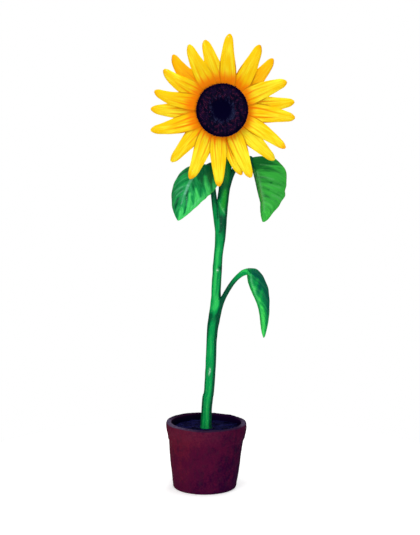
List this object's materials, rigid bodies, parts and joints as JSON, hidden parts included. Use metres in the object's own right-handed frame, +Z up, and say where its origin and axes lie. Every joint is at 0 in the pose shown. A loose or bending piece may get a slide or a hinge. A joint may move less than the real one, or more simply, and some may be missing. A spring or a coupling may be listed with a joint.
{
  "type": "potted artificial sunflower",
  "caption": "Oversize moulded and painted sunflower: a big yellow head on a bare green stem with drooping leaves, standing in a filled maroon pot with a thick rim.",
  "frame": {"origin": "centre of the pot's flat underside, on the floor", "axes": "+Z up the plant; the flower faces -Y; +X to the right of a viewer who faces the flower"},
  "size_m": [0.5601, 0.33, 1.8239],
  "materials": {
    "terracotta": "rough mottled maroon paint",
    "soil": "near-black granular fill",
    "stem": "streaky satin green paint",
    "leaf": "brushed satin green paint over an embossed blade",
    "calyx": "satin green paint",
    "petal": "satin yellow paint shaded orange at the root",
    "disc": "near-black grains flecked maroon"
  },
  "bodies": {
    "root": {"pot": "terracotta", "soil": "soil", "stem": "stem", "stalk_upper_left": "stem", "stalk_upper_right": "stem", "stalk_lower_right": "stem", "leaf_upper_left": "leaf", "leaf_upper_right": "leaf", "leaf_lower_right": "leaf", "calyx": "calyx", "seed_disc": "disc", "petal_01": "petal", "petal_02": "petal", "petal_03": "petal", "petal_04": "petal", "petal_05": "petal", "petal_06": "petal", "petal_07": "petal", "petal_08": "petal", "petal_09": "petal", "petal_10": "petal", "petal_11": "petal", "petal_12": "petal", "petal_13": "petal", "petal_14": "petal", "petal_15": "petal", "petal_16": "petal", "petal_17": "petal", "petal_18": "petal", "petal_19": "petal", "petal_20": "petal"}
  },
  "joints": []
}
